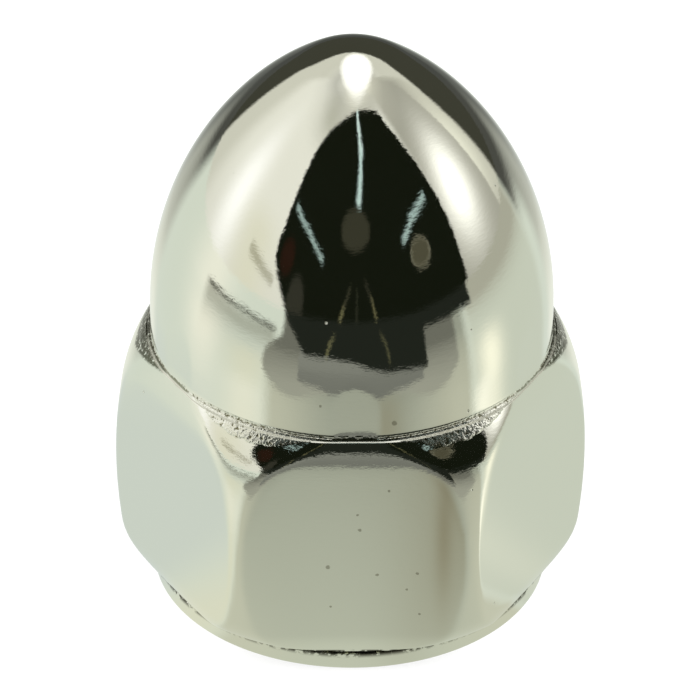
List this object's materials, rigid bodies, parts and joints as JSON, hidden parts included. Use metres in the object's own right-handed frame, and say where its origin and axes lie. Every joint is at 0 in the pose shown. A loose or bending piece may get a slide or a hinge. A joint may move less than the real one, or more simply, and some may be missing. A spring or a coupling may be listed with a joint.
{
  "type": "cap nut",
  "caption": "One-piece domed cap nut: a hexagon with softly buffed edges and a washer face, a tall closed dome, and a blind tapped hole from below.",
  "frame": {"origin": "centre of the flat bearing face at the bottom, on the thread axis", "axes": "+Z along the thread axis towards the dome; two flats of the hexagon face +Y and -Y, and two corners point along X"},
  "size_m": [0.018, 0.0158, 0.0233],
  "materials": {
    "bright_plate": "buffed and bright plated steel, dull and grainy in the corner round the foot of the dome"
  },
  "bodies": {
    "root": {"cap_nut": "bright_plate"}
  },
  "joints": []
}
